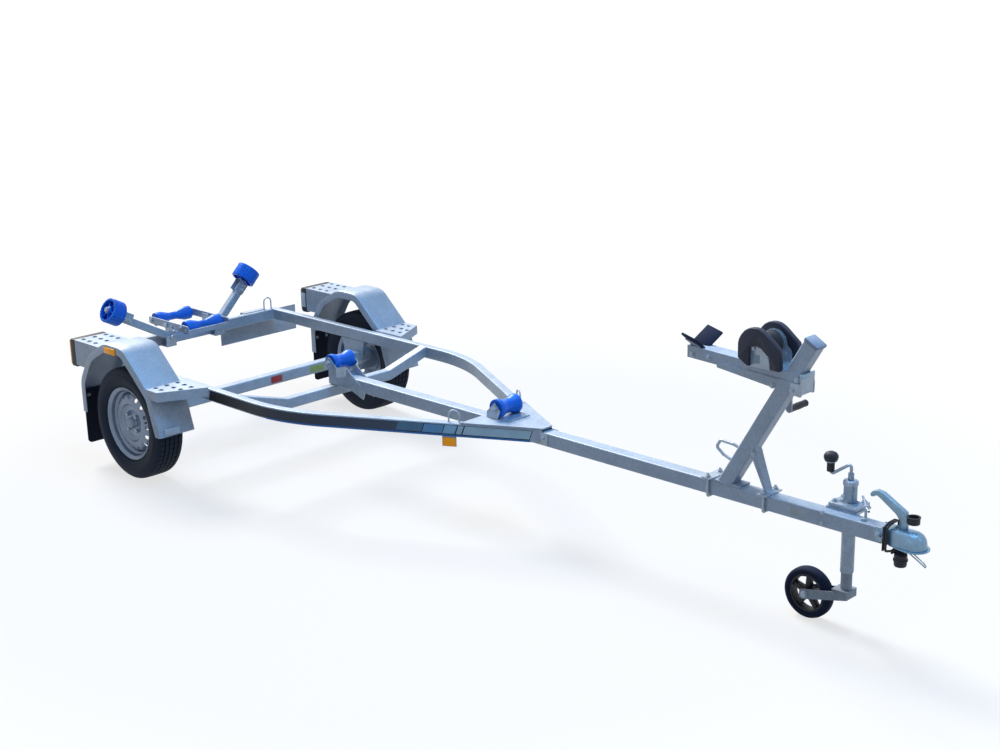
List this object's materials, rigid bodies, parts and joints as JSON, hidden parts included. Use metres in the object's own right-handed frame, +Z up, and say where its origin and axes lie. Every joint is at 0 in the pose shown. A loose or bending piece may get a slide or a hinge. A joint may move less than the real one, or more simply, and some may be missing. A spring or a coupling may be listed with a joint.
{
  "type": "boat trailer",
  "caption": "Single-axle galvanised boat trailer with keel, cradle and side rollers, winch post with bow stop, ball coupler and jockey wheel.",
  "frame": {"origin": "on the ground, at the middle of the length and width of the box round the whole trailer", "axes": "+X forward towards the coupler, +Y to the left of travel, +Z up"},
  "size_m": [4.589, 1.64, 1.117],
  "materials": {
    "galvanised": "hot-dip galvanised, soft sheen",
    "zinc": "bright zinc plated",
    "silver_paint": "silver lacquer",
    "tyre": "moulded, fine ribs",
    "wheel_rubber": "solid, matt",
    "black_rubber": "matt",
    "flap_rubber": "matt sheet",
    "blue_rubber": "polyurethane, satin",
    "black_plastic": "grained",
    "lamp_plastic": "glossy lens in a black housing",
    "amber_reflector": "prismatic",
    "webbing": "woven polyester strap",
    "cable": "smooth jacket",
    "steel_wire": "twisted wire"
  },
  "bodies": {
    "chassis": {"rails": "galvanised", "drawbar": "galvanised", "rear_crossmember": "galvanised", "front_crossmember": "galvanised", "gusset_plate": "galvanised", "axle_beam": "galvanised", "axle_brackets": "galvanised", "axle_arms": "galvanised", "rod_eyes": "zinc", "keel_brackets": "zinc", "stern_mount": "zinc", "mudguards": "galvanised", "front_steps": "galvanised", "rear_steps": "galvanised", "tail_lamps": "lamp_plastic", "mud_flaps": "flap_rubber", "side_reflectors": "amber_reflector", "plate_carrier": "galvanised", "winch_post": "galvanised", "post_clamps": "zinc", "post_brace": "galvanised", "winch_beam": "galvanised", "bow_rubbers": "black_rubber", "winch_frame": "zinc", "winch_covers": "black_plastic", "jack_clamp": "zinc", "coupler": "zinc", "coupler_handle": "zinc", "plug_rest": "black_plastic", "light_cable": "cable", "light_plug": "black_plastic", "breakaway_wire": "steel_wire"},
    "wheel_right": {"tyre_right": "tyre", "rim_right": "silver_paint", "hub_right": "galvanised"},
    "wheel_left": {"tyre_left": "tyre", "rim_left": "silver_paint", "hub_left": "galvanised"},
    "keel_front": {"keel_roller_front": "blue_rubber"},
    "keel_rear": {"keel_roller_rear": "blue_rubber"},
    "cradle": {"cradle": "galvanised"},
    "cradle_front": {"cradle_roller_front": "blue_rubber"},
    "cradle_rear": {"cradle_roller_rear": "blue_rubber"},
    "arm_right": {"side_arm_right": "galvanised"},
    "arm_left": {"side_arm_left": "galvanised"},
    "side_right": {"side_roller_right": "blue_rubber"},
    "side_left": {"side_roller_left": "blue_rubber"},
    "drum": {"winch_drum": "zinc", "winch_strap": "webbing"},
    "crank": {"winch_crank": "zinc", "crank_grip": "black_plastic"},
    "jack": {"jack_tube": "zinc", "jack_crank": "zinc"},
    "leg": {"jack_leg": "zinc"},
    "fork": {"jack_fork": "zinc"},
    "jockey": {"jockey_wheel": "wheel_rubber"}
  },
  "joints": [
    {"name": "wheel_right_spin", "type": "hinge", "parent": "chassis", "child": "wheel_right", "pos_m": [-1.4965, -0.723, 0.2735], "axis": [0, 1, 0], "continuous": true},
    {"name": "wheel_left_spin", "type": "hinge", "parent": "chassis", "child": "wheel_left", "pos_m": [-1.4965, 0.723, 0.2735], "axis": [0, 1, 0], "continuous": true},
    {"name": "keel_front_spin", "type": "hinge", "parent": "chassis", "child": "keel_front", "pos_m": [0.2715, 0, 0.539], "axis": [0, 1, 0], "continuous": true},
    {"name": "keel_rear_spin", "type": "hinge", "parent": "chassis", "child": "keel_rear", "pos_m": [-0.8385, 0, 0.539], "axis": [0, 1, 0], "continuous": true},
    {"name": "cradle_tilt", "type": "hinge", "parent": "chassis", "child": "cradle", "pos_m": [-2.1185, 0, 0.528], "axis": [0, 1, 0], "range_deg": [-12, 12]},
    {"name": "cradle_front_spin", "type": "hinge", "parent": "cradle", "child": "cradle_front", "pos_m": [-1.9785, 0, 0.532], "axis": [0, 1, 0], "continuous": true},
    {"name": "cradle_rear_spin", "type": "hinge", "parent": "cradle", "child": "cradle_rear", "pos_m": [-2.2585, 0, 0.532], "axis": [0, 1, 0], "continuous": true},
    {"name": "arm_right_raise", "type": "hinge", "parent": "chassis", "child": "arm_right", "pos_m": [-2.072, -0.15, 0.48], "axis": [1, 0, 0], "range_deg": [-20, 8]},
    {"name": "side_right_spin", "type": "hinge", "parent": "arm_right", "child": "side_right", "pos_m": [-2.072, -0.46734, 0.67084], "axis": [0, -0.8771, 0.4802], "continuous": true},
    {"name": "arm_left_raise", "type": "hinge", "parent": "chassis", "child": "arm_left", "pos_m": [-2.072, 0.15, 0.48], "axis": [1, 0, 0], "range_deg": [-8, 20]},
    {"name": "side_left_spin", "type": "hinge", "parent": "arm_left", "child": "side_left", "pos_m": [-2.072, 0.3678, 0.72303], "axis": [0, 0.7009, 0.7133], "continuous": true},
    {"name": "drum_spin", "type": "hinge", "parent": "chassis", "child": "drum", "pos_m": [1.6085, 0, 1.045], "axis": [0, 1, 0], "continuous": true},
    {"name": "crank_spin", "type": "hinge", "parent": "chassis", "child": "crank", "pos_m": [1.6535, 0.044, 1.01], "axis": [0, 1, 0], "continuous": true},
    {"name": "jack_slide", "type": "slide", "parent": "chassis", "child": "jack", "axis": [0, 0, 1], "range_m": [0, 0.15]},
    {"name": "leg_slide", "type": "slide", "parent": "jack", "child": "leg", "axis": [0, 0, 1], "range_m": [-0.2, 0.05]},
    {"name": "fork_swivel", "type": "hinge", "parent": "leg", "child": "fork", "pos_m": [1.9345, 0.072, 0.16], "axis": [0, 0, 1], "continuous": true},
    {"name": "jockey_spin", "type": "hinge", "parent": "fork", "child": "jockey", "pos_m": [1.7775, 0.072, 0.1], "axis": [0, 1, 0], "continuous": true}
  ],
  "couplings": [
    {"joint": "drum_spin", "follows": "crank_spin", "ratio": -0.25}
  ]
}
